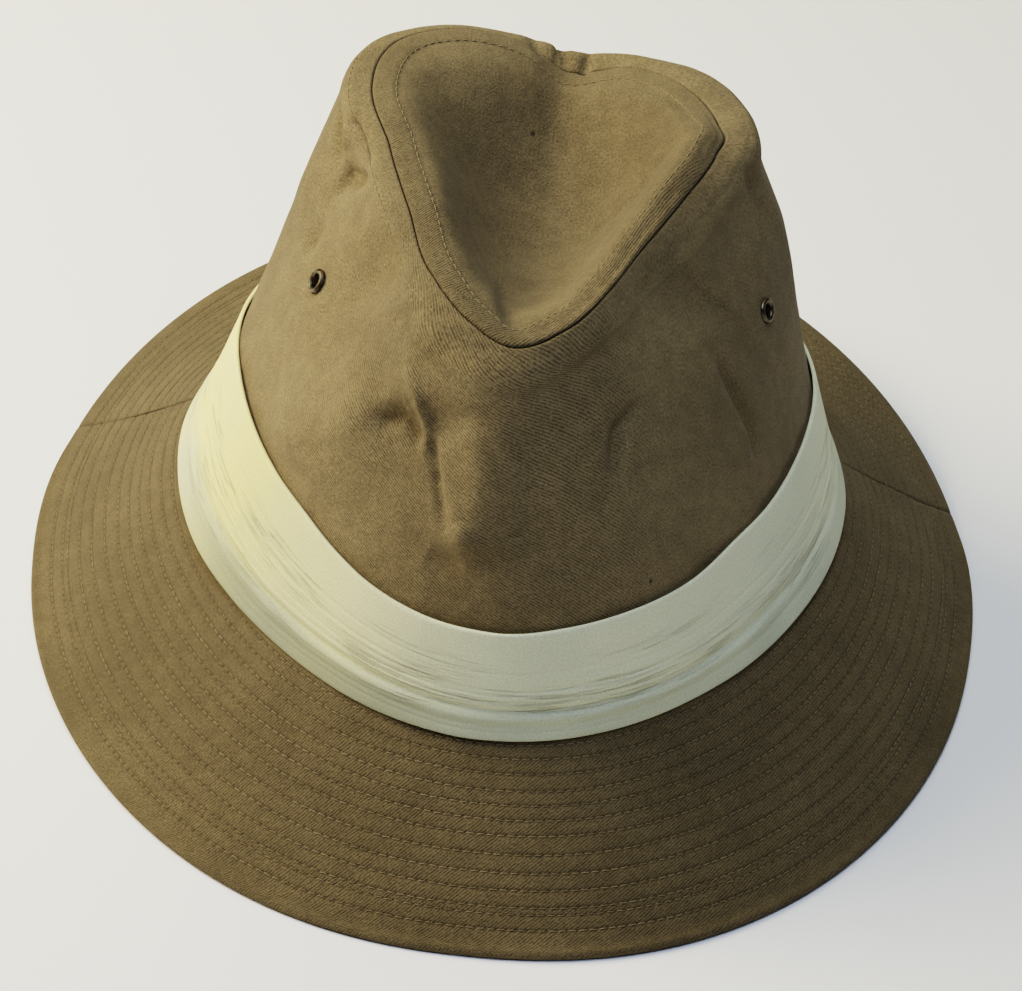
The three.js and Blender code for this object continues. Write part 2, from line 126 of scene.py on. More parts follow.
FOLDS = (
    # Pinches of both sides
    crease(17.0, 4.0, (-70, 0.9), (-54, 0.84), (-46, 0.78), soft=True),
    crease(16.0, 3.0, (66, 0.92), (52, 0.85), (44, 0.78), soft=True),
    # Corners between the faces of the front, and the bulge of the left face
    crease(24.0, -6.0, (-26, 1.0), (-23.5, 0.92), (-23.5, 0.86), (-22, 0.82), (-19.5, 0.765), (-17.5, 0.72),
           crest=2.0),
    crease(14.0, -4.0, (-10.5, 0.97), (-9.5, 0.9), (-8, 0.81), (-7, 0.74), (-6.3, 0.67), (-5.8, 0.595),
           (-5.2, 0.51), (-4.8, 0.46), (-4.5, 0.4), crest=2.6),
    crease(12.0, -1.2, (4, 0.97), (3.5, 0.91), (3, 0.84), (2, 0.77), crest=2.0),
    crease(22.0, -5.0, (-64, 0.32), (-52, 0.44), (-40, 0.55), (-33.5, 0.63), (-27, 0.71), crest=4.0),
    # Crumple left of the front: a hollow, a pointed fold, the valley under it, the ridge beside the valley,
    # the ridge's raised end and a dip below it
    crease(2.6, 3.0, (-29, 0.655), (-26.5, 0.69), (-24, 0.712), (-21.5, 0.705), (-19.2, 0.675)),
    crease(1.9, -2.1, (-23.5, 0.82), (-19.6, 0.785), (-18.4, 0.745), (-17.7, 0.7), (-17.2, 0.67)),
    crease(1.6, 1.7, (-16.4, 0.71), (-15.6, 0.685), (-14.2, 0.655), (-13, 0.625)),
    crease(1.7, 2.1, (-14.6, 0.65), (-13, 0.61), (-11.4, 0.565), (-9.8, 0.515)),
    crease(3.0, -1.2, (-14, 0.71), (-11.5, 0.64), (-9, 0.57), (-7.5, 0.505)),
    crease(3.3, -2.6, (-8.6, 0.555), (-7.0, 0.525), (-5.8, 0.495)),
    crease(5.0, 1.7, (-13, 0.445), (-10, 0.44), (-6.5, 0.455)),
    # Creases of the right and left faces
    crease(2.4, 2.8, (29, 0.73), (22, 0.71), (20.5, 0.665), (20, 0.615)),
    crease(4.0, 0.8, (33, 0.85), (25, 0.85), (16, 0.86)),
    crease(2.1, 2.4, (58.5, 0.71), (61.5, 0.6), (65, 0.475), (62.5, 0.42)),
    crease(2.5, 0.5, (-44, 0.56), (-41, 0.52), (-38, 0.5)),
    # Folds of the left pinch
    crease(2.2, 2.2, (-113, 0.9), (-109, 0.855), (-105.5, 0.835)),
    crease(2.4, 3.2, (-106, 0.945), (-103, 0.945), (-96.5, 0.945), (-86, 0.95)),
    crease(2.4, 3.2, (-83, 0.93), (-91, 0.885), (-99.5, 0.84), (-98.5, 0.79)),
    crease(2.6, -1.4, (-107, 0.91), (-104.5, 0.87)),
    crease(3.0, 1.8, (-92, 0.75), (-90, 0.71), (-89, 0.67)),
    # Fold of the right corner, the valley of the tip and the puckers of the dimple
    crease(2.4, 1.6, (97.5, 0.945), (100.5, 0.9), (103, 0.86)),
    crease(3.0, 2.2, (-4, 1.1), (-6, 1.2), (-9, 1.35), (-14, 1.5)),
    crease(1.6, 1.6, (179.5, 0.94), (178.5, 0.965), (177, 0.99)),
    crease(1.6, 1.3, (172, 0.95), (172, 0.985), (173, 1.02)),
    crease(1.8, 1.2, (-174, 0.95), (-175, 0.99), (-176, 1.03)),
)

# Samples between two places of a fold, and how many widths it reaches out to

FOLD_SAMPLES = 12
FOLD_REACH = 3

# Share of a flank over which its foot eases out, share of a crest where its end starts to fade, and the
# places up the crown between which the cloth comes free of the band

FLANK_FOOT = 0.1
CREST_END = 0.66
LOOSE_ABOVE = (0.31, 0.44)

# Sewn strips beside the tip seam: width, lift, and the groove of the top-stitching.
# The strip's far edge falls from inside its width to outside it.

TIP_STRIP = {"width": 6.8, "lift": 0.4, "groove": 0.2}
SIDE_STRIP = {"width": 6.5, "lift": 0.3, "groove": 0.12}
STRIP_FALL = {"inside": 0.6, "outside": 1.2}
SEAM_ROUND = 0.5
SEAM_SAMPLES = 1440
GROOVE_WIDTH = 0.8
BACK_SEAM = {"width": 0.8, "depth": 0.5}
BRIM_SEAM = {"width": 0.8, "depth": 0.15}

# Soft unevenness of the cloth as (size of the lumps, height), made of crossing waves.
# On the brim it fades out near the edge.

CROWN_LUMPS = ((26.0, 0.55), (11.0, 0.18), (5.0, 0.05))
BRIM_LUMPS = ((45.0, 0.35), (12.0, 0.1), (6.0, 0.05))
BRIM_LUMPS_FROM = 12.0
BAND_LUMPS = ((18.0, 0.12), (7.0, 0.05))
LUMP_WAVES = {"count": 20, "slowest": 0.35, "fastest": 0.75, "whole": 6}

# Seeds of the random draws

SEEDS = {"crown": 11, "side_stitches": 7, "tip_stitches": 5, "brim_front": 41, "brim_back": 43,
         "band_wander": 31, "band_lumps": 32}

# The brim's stitch rows by distance from the edge, the usual gap, and the puff of the cloth halfway between
# them. Then the sampling: steps in a gap, and upper rows for each lower row.

BRIM_WIDTH = 61.0
STITCH_LINES = (7.9, 12.1, 14.0, 18.6, 23.2, 28.2, 33.3, 37.5, 41.5, 45.4, 50.0, 54.2, 58.0)
LINE_GAP = 4.6
HALFWAY = 0.5
BRIM_PUFF = {"height": 0.16, "most": 1.2, "flatness": 0.6}
GAP_STEPS = {"edge": 9, "narrow": 3, "narrow_below": 2.5, "usual": 5}
UNDER_SKIP = 3

# The brim's edge: start and turns of its rounding, and how its two faces come down to rest

EDGE_ROUND = 1.1
EDGE_TURNS = range(154, 0, -22)
EDGE_REST = {"height": 2.2, "soft": 1.0, "least": 0.6, "clear": 0.02}

# Threads: pitch and length of a stitch, thread radius, how far it rises and dips

STITCH = {"pitch": 2.7, "length": 2.3, "radius": 0.16, "rise": 0.13, "dip": 0.2}

# Sections along a stitch: share of its length, share of the rise, share of the dip

STITCH_SECTIONS = np.array([
    (-0.5, 0.0, 1.0), (-0.3, 0.6, 0.0), (0.0, 1.0, 0.0), (0.3, 0.6, 0.0), (0.5, 0.0, 1.0),
])

# Sides of a thread, its chance skew and lengths, and the share of the pitch that its direction is read over

STITCH_SIDES = 5
STITCH_SKEW = 0.05
STITCH_LENGTHS = (0.88, 1.06)
STITCH_LOOK = 0.4

# The hatband: place up the crown and stand-off at shares of its height

BAND_STATIONS = ((-0.004, 1.0), (0.05, 0.9), (0.13, 0.7), (BAND_TOP_AT, 0.8))
BAND_SHARES = np.array([0.0, 0.17, 0.43, 1.0])
FLARE_POWER = 3

# The band's edges: angle, rise of the upper edge, flare of the foot

BAND_ROWS = np.array([
    (-170, 0, 0.5), (-120, 1, 1.5), (-90, 2.4, 2.2), (-68, 3.0, 2.6), (-52, 3.7, 1.2), (-40, 4.1, 0.2),
    (-30, 2.3, 0), (-22, 0.25, 0.4), (-11, -1.6, 1.0), (-4, -1.8, 1.5), (3, -1.6, 1.2), (10, -0.5, 0.7),
    (20, 0.3, 0), (34, 0.6, -0.3), (47, 1.9, 0.4), (62, 0.6, 0.6), (90, 0.3, 0.8), (130, 0, 0.6),
])

# Folds along the band: share of its height, start and end angle, width share and depth

BAND_FOLDS = (
    (0.28, -180, 180, 0.035, 0.85), (0.21, -110, 60, 0.04, -0.4), (0.36, -70, 40, 0.016, 0.28),
    (0.42, -120, 10, 0.014, 0.26), (0.47, -30, 110, 0.014, 0.24), (0.53, -90, -5, 0.013, 0.2),
    (0.58, 5, 90, 0.013, 0.18), (0.64, -60, 30, 0.013, 0.15), (0.33, 30, 120, 0.016, 0.25),
    (0.14, -60, 90, 0.016, 0.2), (0.39, -95, -20, 0.01, 0.16), (0.45, -75, 5, 0.01, 0.15),
    (0.5, -110, -40, 0.01, 0.15), (0.19, -100, -15, 0.012, 0.18), (0.09, -120, 40, 0.012, 0.15),
    (0.275, -140, 0, 0.012, 0.45),
)

# How the folds wander, and the degrees over which their ends fade. Then the hems: the share of the height
# over which relief fades, the rounding and its reach. The cloth is a little taller than the band stands.

BAND_WANDER = {"size": 40.0, "share": 0.02}
BAND_FOLD_FADE = 14
BAND_HEM = {"share": 0.05, "round": 0.45, "round_reach": 0.008}
BAND_CLOTH_HEIGHT = BAND_HEIGHT + 2

# The eyelets, with the profile of the ring as radius and height above the cloth

EYELETS = (("eyelet_left", 86.0, 0.655), ("eyelet_right", -76.0, 0.69))
EYELET_HOLE = {"cut": 1.6, "open": 2.7, "blend": 6.0, "reach": 8.0}
EYELET_PROFILE = (
    (2.0, -2.6), (1.98, 0.35), (2.05, 0.62), (2.22, 0.86), (2.48, 1.02), (2.74, 1.08), (3.0, 1.02),
    (3.26, 0.85), (3.45, 0.58), (3.52, 0.3), (3.48, 0.05), (3.35, -0.1),
)
EYELET_SIDES = 48

# Sampling: steps round the hat, closer together at the pinch and the dimple, and the steps that slopes are
# read over

CROWN_STEPS = 560
TIP_STEPS = 480
BAND_STEPS = 480
BRIM_FRONT_STEPS = 440
BRIM_BACK_STEPS = 240
CROWDING = 0.15
TINY = 1e-9
ANGLE_STEP = 0.05
AT_STEP = 0.0005

# Rows of the crown's two pieces: stretches of (start, end, count) over the outer and inner face,
# and the sewn edge between them as (place, depth below the outer face)

SIDE_OUTER = ((FOOT_AT, 0.26, 6), (0.26, 0.9, 92), (0.9, 0.9975, 27))
SIDE_EDGE = [(0.9987, 0.2), (0.9997, 0.8), (0.999, 1.35)]
SIDE_INNER = (0.995, FOOT_AT, 18)
TIP_OUTER = ((1.0075, 1.2, 34), (1.2, 1.985, 46))
TIP_EDGE = [(1.002, 1.35), (1.0005, 0.8), (1.003, 0.25)]
TIP_INNER = (1.985, 1.006, 24)

# Rows of the band as shares of its height: lower hem, face as (start, end, count), upper hem, inner face,
# and the number of the row along which its length is measured

BAND_LOWER_HEM = (0.0, 0.006, 0.015)
BAND_FACE = (0.03, 0.97, 110)
BAND_UPPER_HEM = (0.985, 0.994, 1.0)
BAND_INNER = (1.0, 0.0, 14)
BAND_MEASURED_ROW = 50

# The photograph's camera, aimed at a point of the hat from this distance

VIEW = {"target": (-0.4, -15.6, 49.4), "elevation": 37.0, "distance": 980.0, "roll": 5.7}
SENSOR_WIDTH = 36.0
LENS = 121.35

MM = 0.001


# Small helpers

def mix(low, high, share):
    return low + (high - low) * share


def smoothstep(low, high, value):
    share = np.clip((value - low) / (high - low), 0, 1)
    return share * share * (3 - 2 * share)


def window(rise, fall, value):
    return smoothstep(*rise, value) * smoothstep(*fall, value)


def wrapped(angle):
    return (angle + 180.0) % 360.0 - 180.0


def norm(vectors):
    return np.linalg.norm(vectors, axis=-1)


def unit(vectors):
    return vectors / np.maximum(norm(vectors)[..., None], TINY)


def closed(table, axis=0):
    """The table with its first entry again at its end."""
    return np.concatenate([table, table.take([0], axis)], axis)


def lengths_along(points, axis=0):
    """Length of a line of points up to each of them."""
    steps = norm(np.diff(points, axis=axis))
    return np.concatenate([np.zeros_like(steps.take([0], axis)), np.cumsum(steps, axis=axis)], axis)


def on_ray(angle, reach, z):
    turn = np.radians(angle)
    return np.stack(np.broadcast_arrays(reach * np.sin(turn), -reach * np.cos(turn), z), -1)


def lumps(points, layers, seed):
    """Smooth uneven heights in layers of (size, height), the same on every run."""
    rng = np.random.default_rng(seed)
    count = LUMP_WAVES["count"]
    total = np.zeros(points.shape[:-1])
    for size, height in layers:
        ways = unit(rng.normal(size=(count, 3)))
        speeds = rng.uniform(LUMP_WAVES["slowest"], LUMP_WAVES["fastest"], (count, 1))
        waves = points @ (ways * speeds * 2 * np.pi / size).T
        total += height * np.sin(waves + rng.uniform(0, 2 * np.pi, count)).sum(-1) / LUMP_WAVES["whole"]
    return total


def spaced(*stretches):
    """Places along stretches of (start, end, count), of which the last one takes in its end."""
    parts = [np.linspace(*stretch, endpoint=False) for stretch in stretches[:-1]]
    return np.concatenate(parts + [np.linspace(*stretches[-1])])


def cubic(xs, ys, places):
    """Smooth curves through ys at xs, read at places: ys runs stations by curves by coordinates."""
    slopes = np.empty_like(ys)
    gaps = lambda values: values.reshape([-1] + [1] * (ys.ndim - 1))
    slopes[1:-1] = (ys[2:] - ys[:-2]) / gaps(xs[2:] - xs[:-2])
    slopes[0] = (ys[1] - ys[0]) / (xs[1] - xs[0])
    slopes[-1] = (ys[-1] - ys[-2]) / (xs[-1] - xs[-2])
    low = np.clip(np.searchsorted(xs, places, side="right") - 1, 0, len(xs) - 2)
    step = xs[low + 1] - xs[low]
    t = (places - xs[low]) / step
    here, after = (low,), (low + 1,)
    if ys.ndim > 1:
        curve = np.arange(len(places))
        here, after = (low, curve), (low + 1, curve)
        step, t = step[:, None], t[:, None]
    return ((2 * t**3 - 3 * t**2 + 1) * ys[here] + (t**3 - 2 * t**2 + t) * step * slopes[here]
            + (3 * t**2 - 2 * t**3) * ys[after] + (t**3 - t**2) * step * slopes[after])


# The hat's faces

def oval_reach(oval, angle):
    across = np.abs(np.sin(np.radians(angle)))
    along = np.cos(np.radians(angle))
    half_width = oval["half_width"] * (1 - oval["egg"] * along)
    half_length = np.where(along > 0, oval["front"], oval["back"])
    total = (across / half_width) ** oval["power"] + (np.abs(along) / half_length) ** oval["power"]
    return total ** (-1 / oval["power"])


def break_height(angle):
    return BREAK_HEIGHT - BREAK_DIP * np.cos(np.radians(2 * angle))


def round_column(table, angle, column):
    """One column of a table whose rows start with an angle, read smoothly all round the hat."""
    rows = np.concatenate([table[-2:], table, table[:3]])
    turns = np.concatenate([[-360.0] * 2, [0.0] * len(table), [360.0] * 3])
    return cubic(rows[:, 0] + turns, rows[:, column], wrapped(angle))


def crown_stations(angle):
    reach, height, roll, rise = (round_column(SEAM_ROWS, angle, column) for column in range(1, 5))
    break_reach = oval_reach(BREAK_OVAL, angle)
    sideways = np.abs(np.sin(np.radians(angle))) ** BAND_LEAN["power"]
    band_reach = break_reach - mix(BAND_LEAN["front"], BAND_LEAN["side"], sideways)
    dip = break_height(angle) - BREAK_HEIGHT
    band_height = BAND_HEIGHT + BAND_DIP_SHARE * dip
    shoulder_reach = reach + roll
    shoulder_height = height - SHOULDER_DROP
    rings = (
        (break_reach, dip - FOOT_DEPTH),
        (break_reach, dip),
        (band_reach, band_height),
        (mix(band_reach, shoulder_reach, MIDDLE["reach_share"]),
         mix(band_height, shoulder_height, MIDDLE["height_share"])),
        (shoulder_reach, shoulder_height),
        (mix(reach, shoulder_reach, RIM_SHARE), mix(shoulder_height, height, RIM_SHARE) + rise),
        (reach, height),
    )
    points = [on_ray(angle, ring_reach, BREAK_HEIGHT + z) for ring_reach, z in rings]
    seam = points[-1]
    lift, spread, soft = (round_column(ROLL_ROWS, angle, column) for column in (1, 2, 3))
    for way, depth, soft_depth in DENT_ROWS:
        inward = way * (1 + (spread - 1) * (1 - way))
        sink = mix(depth * lift if depth < 0 else depth, soft_depth, soft)
        point = mix(seam, DENT_FLOOR, inward[..., None])
        point[..., 2] = mix(seam[..., 2], DENT_FLOOR[2], sink)
        points.append(point)
    return np.stack(points)


def crown_point(angle, at):
    """Outer face of the crown: at is 0 at the break, 1 at the tip seam and 2 at the floor of the dent."""
    angle, at = np.broadcast_arrays(np.asarray(angle, float), np.asarray(at, float))
    shape = angle.shape
    angle, at = angle.ravel(), at.ravel()
    points = cubic(STATION_AT, crown_stations(angle), at)
    depth = np.zeros_like(at)
    for middle, place, spread_angle, spread_at, deepest in HOLLOWS:
        far = (wrapped(angle - middle) / spread_angle) ** 2 + ((at - place) / spread_at) ** 2
        depth += deepest * np.exp(-far)
    return (points - on_ray(angle, depth, 0.0)).reshape(shape + (3,))


def brim_point(angle, along):
    """Upper face of the brim: along is 0 at the edge and 1 at the break."""
    inner = oval_reach(BREAK_OVAL, angle) + BRIM_INNER_GAP
    outer = oval_reach(EDGE_OVAL, angle)
    lift = EDGE_LIFT["height"] * smoothstep(EDGE_LIFT["start"], EDGE_LIFT["end"], np.abs(wrapped(angle)))
    return on_ray(angle, mix(outer, inner, along), mix(lift, break_height(angle), along))


def face_normal(face, angle, along):
    across = face(angle + ANGLE_STEP, along) - face(angle - ANGLE_STEP, along)
    up = face(angle, along + AT_STEP) - face(angle, along - AT_STEP)
    return unit(np.cross(across, up))


def grid_normals(points):
    return unit(np.cross(np.gradient(points, axis=1), np.gradient(points, axis=0)))


def round_steps(count, start=-180.0, end=180.0):
    even = np.linspace(start, end, count + 1)
    crowded = even - np.degrees(CROWDING * np.sin(np.radians(2 * even)))
    return start + (crowded - crowded[0]) * (end - start) / (crowded[-1] - crowded[0])


# Relief of the crown

def fold_depth(points, fold):
    """How far one fold presses each point in, fading out across it and towards its ends."""
    places = np.array(fold["path"], float)
    steps = np.linspace(0, len(places) - 1, FOLD_SAMPLES * (len(places) - 1) + 1)
    knots = np.arange(len(places))
    trail = crown_point(np.interp(steps, knots, places[:, 0]), np.interp(steps, knots, places[:, 1]))
    reach = FOLD_REACH * fold["width"]
    near = np.all((points > trail.min(0) - reach) & (points < trail.max(0) + reach), axis=-1)
    gaps = norm(points[near][:, None] - trail)
    gap = gaps.min(1)
    if fold["crest"]:
        flank = np.hypot(gap, fold["crest"]) - fold["crest"]
        share = 1 - flank / (fold["width"] - fold["crest"])
        shape = FLANK_FOOT * np.logaddexp(0, share / FLANK_FOOT)
    else:
        shape = np.exp(-(gap / fold["width"]) ** 2)
    run = (gaps.argmin(1) + 0.5) / len(trail)
    fade = np.sqrt(np.sin(np.pi * run))
    if fold["soft"]:
        fade = window((0.0, 0.5), (1.0, 0.5), run)
    if fold["crest"]:
        fade = np.sqrt(np.sin(np.pi * np.minimum(run, 0.5))) * smoothstep(1.0, CREST_END, run)
    depth = np.zeros(points.shape[:-1])
    depth[near] = fold["depth"] * fade * shape
    return depth


def distance_to(points, trail):
    tree = KDTree(len(trail))
    for index, place in enumerate(trail):
        tree.insert(place, index)
    tree.balance()
    flat = points.reshape(-1, 3)
    return np.array([tree.find(place)[2] for place in flat]).reshape(points.shape[:-1])


SEAM_TRAIL = crown_point(np.linspace(-180, 180, SEAM_SAMPLES + 1)[:-1], SEAM_AT)


def strip_height(distance, strip):
    """Raised strip of doubled cloth beside the seam, with the groove that its stitches pull in."""
    width = strip["width"]
    inside = smoothstep(width + STRIP_FALL["outside"], width - STRIP_FALL["inside"], distance)
    raised = strip["lift"] * smoothstep(0.0, SEAM_ROUND, distance) * inside
    return raised - strip["groove"] * np.exp(-((distance - width) / GROOVE_WIDTH) ** 2)


def crown_relief(points, angle, at, strip):
    """Height of the lumps, folds and sewn strip, and of the back seam where the piece is the side."""
    height = lumps(points, CROWN_LUMPS, SEEDS["crown"])
    loose = smoothstep(*LOOSE_ABOVE, at)
    for fold in FOLDS:
        height -= fold_depth(points, fold) * loose
    height += strip_height(distance_to(points, SEAM_TRAIL), strip)
    if strip is SIDE_STRIP:
        across = np.radians(180 - np.abs(wrapped(angle))) * np.hypot(points[..., 0], points[..., 1])
        height -= BACK_SEAM["depth"] * np.exp(-(across / BACK_SEAM["width"]) ** 2)
    return height


# Meshes

def to_scene(points):
    return (points + np.array([0.0, PLAN_MIDDLE_Y, 0.0])) * MM


def grid_mesh(name, points, layers, ring_columns=False, ring_rows=False, keep=None, caps=None):
    """A mesh from rows and columns of points, with UV layers that run one step past a closed ring."""
    rows, columns = points.shape[:2]
    index = np.arange(rows * columns).reshape(rows, columns)
    if ring_columns:
        index = closed(index, 1)
    if ring_rows:
        index = closed(index)
    corners = lambda table: np.stack([table[:-1, :-1], table[:-1, 1:], table[1:, 1:], table[1:, :-1]], 2)
    chosen = np.ones(tuple(side - 1 for side in index.shape), bool)
    if keep is not None:
        chosen[:keep.shape[0], :keep.shape[1]] = keep
    quads = corners(index)[chosen]
    rims = []
    if caps == "rows":
        rims = [list(range(columns))[::-1], list(range((rows - 1) * columns, rows * columns))]
    if caps == "columns":
        first, last = range(0, rows * columns, columns), range(columns - 1, rows * columns, columns)
        rims = [list(first), list(last)[::-1]]
    mesh = bpy.data.meshes.new(name)
    mesh.from_pydata(to_scene(points.reshape(-1, 3)), [], quads.tolist() + rims)
    for layer_name, table in layers.items():
        if ring_rows:
            table = closed(table)
        uv = corners(table)[chosen].reshape(-1, 2)
        rim_uv = np.zeros((sum(len(rim) for rim in rims), 2))
        layer = mesh.uv_layers.new(name=layer_name)
        layer.data.foreach_set("uv", np.concatenate([uv, rim_uv]).astype(np.float32).ravel())
    mesh.shade_smooth()
    return mesh


def add_object(name, data):
    item = bpy.data.objects.new(name, data)
    bpy.context.scene.collection.objects.link(item)
    return item


def add_piece(mesh, material, slot, *nodes):
    piece = add_object(mesh.name, mesh)
    mesh.materials.append(material)
    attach(piece, "root")
    if nodes:
        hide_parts(*nodes)


def cone_pattern(angle, out, radius, turn):
    """The cloth laid flat: out is the distance from a circle of this radius, turn a share of the angle."""
    spread = np.radians(angle) * turn
    reach = radius + out
    return np.stack(np.broadcast_arrays(reach * np.sin(spread), -reach * np.cos(spread)), -1)


# Threads

def line_at(points, normals, distance, wanted):
    """The closed line round a grid where a distance that grows row by row reaches the wanted value."""
    column = np.arange(points.shape[1])
    low = np.maximum(np.argmax(distance >= wanted, axis=0) - 1, 0)
    rise = np.maximum(distance[low + 1, column] - distance[low, column], TINY)
    share = np.clip((wanted - distance[low, column]) / rise, 0, 1)[:, None]
    read = lambda table: mix(table[low, column], table[low + 1, column], share)
    return closed(read(points)), closed(unit(read(normals)))


def stitch_places(points, normals):
    """Middles, directions and normals of stitches set along a line of points."""
    pitch = STITCH["pitch"]
    length = lengths_along(points)
    middles = np.arange(0.5, length[-1] / pitch, 1.0) * pitch
    read = lambda table, where: np.stack([np.interp(where, length, table[:, k]) for k in range(3)], -1)
    look = STITCH_LOOK * pitch
    way = unit(read(points, middles + look) - read(points, middles - look))
    return read(points, middles), way, unit(read(normals, middles))


def thread_mesh(name, places, seed):
    """Short arched threads with few sides, one for each stitch place."""
    rng = np.random.default_rng(seed)
    middles, ways, normals = (np.concatenate(column) for column in zip(*places))
    count = len(middles)
    ways = unit(ways + rng.normal(scale=STITCH_SKEW, size=(count, 3)))
    across = unit(np.cross(normals, ways))
    along, rise, dip = STITCH_SECTIONS.T
    heights = rise * STITCH["rise"] - dip * STITCH["dip"]
    turns = np.radians(np.arange(STITCH_SIDES) * 360.0 / STITCH_SIDES + 90.0)
    ring = np.stack([np.cos(turns), np.sin(turns)], -1) * STITCH["radius"]
    lengths = STITCH["length"] * rng.uniform(*STITCH_LENGTHS, count)
    reach = along[:, None] * lengths[:, None, None]
    points = (middles[:, None, None] + ways[:, None, None] * reach[..., None]
              + across[:, None, None] * ring[:, 0][:, None]
              + normals[:, None, None] * (heights[:, None] + ring[:, 1])[..., None])
    sections = len(along)
    first = (np.arange(count)[:, None, None] * sections + np.arange(sections - 1)[:, None]) * STITCH_SIDES
    here = first + np.arange(STITCH_SIDES)
    after = first + (np.arange(STITCH_SIDES) + 1) % STITCH_SIDES
    quads = np.stack([here, after, after + STITCH_SIDES, here + STITCH_SIDES], -1)
    mesh = bpy.data.meshes.new(name)
    mesh.from_pydata(to_scene(points.reshape(-1, 3)), [], quads.reshape(-1, 4)[:, ::-1].tolist())
    mesh.shade_smooth()
    return mesh


# Shader helper

# Sockets of the node that mixes colours
MIX_SHARE, MIX_FIRST, MIX_SECOND, MIX_RESULT = 0, 6, 7, 2


class Shading:
    """Wires the nodes of one material."""

    def __init__(self, name, finish):
        self.material = bpy.data.materials.new(name)
        self.material.use_nodes = True
        self.tree = self.material.node_tree
        self.surface = self.tree.nodes["Principled BSDF"]
        for socket, value in finish.items():
            self.surface.inputs[socket].default_value = value

    def join(self, value, socket):
        if isinstance(value, bpy.types.NodeSocket):
            self.tree.links.new(value, socket)
        else:
            socket.default_value = value

    def add(self, kind, inputs, **settings):
        node = self.tree.nodes.new(kind)
        for key, value in settings.items():
            setattr(node, key, value)
        for key, value in inputs.items():
            self.join(value, node.inputs[key])
        return node

    def math(self, operation, *values):
        return self.add("ShaderNodeMath", dict(enumerate(values)), operation=operation).outputs[0]

    def times(self, first, second):
        return self.math("MULTIPLY", first, second)

    def linear(self, value, slope, start):
        return self.math("MULTIPLY_ADD", value, slope, start)

    def uv(self, layer):
        node = self.add("ShaderNodeUVMap", {}, uv_map=layer)
        split = self.add("ShaderNodeSeparateXYZ", {0: node.outputs["UV"]})
        return split.outputs["X"], split.outputs["Y"]

    def vector(self, x, y, z=0.0):
        return self.add("ShaderNodeCombineXYZ", {0: x, 1: y, 2: z}).outputs[0]

    def noise(self, place, scale, detail=2.0):
        found = self.add("ShaderNodeTexNoise", {"Vector": place, "Scale": scale, "Detail": detail})
        return found.outputs[0]

    def solid(self):
        return self.add("ShaderNodeTexCoord", {}).outputs["Object"]

    def ramp(self, value, low, high, to_low=0.0, to_high=1.0):
        inputs = {"Value": value, "From Min": low, "From Max": high, "To Min": to_low, "To Max": to_high}
        return self.add("ShaderNodeMapRange", inputs, interpolation_type="SMOOTHSTEP").outputs[0]

    def patches(self, place, look):
        noise, ramp = look
        return self.ramp(self.noise(place, *noise), *ramp)

    def blend(self, share, first, second, mode="MIX"):
        node = self.add("ShaderNodeMix", {}, data_type="RGBA", blend_type=mode)
        self.join(share, node.inputs[MIX_SHARE])
        self.join(first, node.inputs[MIX_FIRST])
        self.join(second, node.inputs[MIX_SECOND])
        return node.outputs[MIX_RESULT]

    def shaded(self, colour, shade):
        return self.blend(1.0, colour, self.vector(shade, shade, shade), "MULTIPLY")

    def scaled(self, x, y, scales):
        return self.vector(self.times(x, scales[0]), self.times(y, scales[1]))

    def distance(self, x, y):
        return self.math("SQRT", self.math("ADD", self.math("POWER", x, 2.0), self.math("POWER", y, 2.0)))

    def bump(self, height, distance, strength, normal=None):
        inputs = {"Height": height, "Distance": distance * MM, "Strength": strength}
        if normal is not None:
            inputs["Normal"] = normal
        return self.add("ShaderNodeBump", inputs).outputs[0]


# Colours

KHAKI = (0.145, 0.111, 0.059, 1.0)
KHAKI_DARK = (0.08, 0.061, 0.032, 1.0)
KHAKI_LIGHT = (0.205, 0.158, 0.084, 1.0)
THREAD = (0.25, 0.198, 0.113, 1.0)
THREAD_DULL = (0.225, 0.177, 0.1, 1.0)
SPECK = (0.03, 0.022, 0.015, 1.0)
CREAM = (0.74, 0.75, 0.54, 1.0)
CREAM_YELLOW = (0.9, 0.8, 0.34, 1.0)
CREAM_GREY = (0.5, 0.54, 0.41, 1.0)
CREAM_LINE = (0.5, 0.48, 0.34, 1.0)
BRASS = (0.2, 0.165, 0.1, 1.0)
BRASS_DARK = (0.05, 0.042, 0.03, 1.0)
FLOOR = (0.94, 0.94, 0.935, 1.0)

# Finishes, as values of the surface's sockets

TWILL_FINISH = {"Roughness": 0.92, "Specular IOR Level": 0.2, "Sheen Weight": 0.05, "Sheen Roughness": 0.6}
THREAD_FINISH = {"Roughness": 0.8, "Specular IOR Level": 0.3}
COTTON_FINISH = {"Roughness": 0.88, "Specular IOR Level": 0.25, "Sheen Weight": 0.1}
BRASS_FINISH = {"Roughness": 0.36, "Metallic": 0.85}
FLOOR_FINISH = {"Base Color": FLOOR, "Roughness": 0.95, "Specular IOR Level": 0.1}

# The looks below give noises as (scale, detail), ramps as (low, high) or (low, high, value at low, value at
# high), patches as (noise, ramp) and bumps as (height, strength). Sizes are in millimetres of the flat
# cloth. The noises of wear, speckle, stain, thread tone and tarnish are in the solid, per metre.

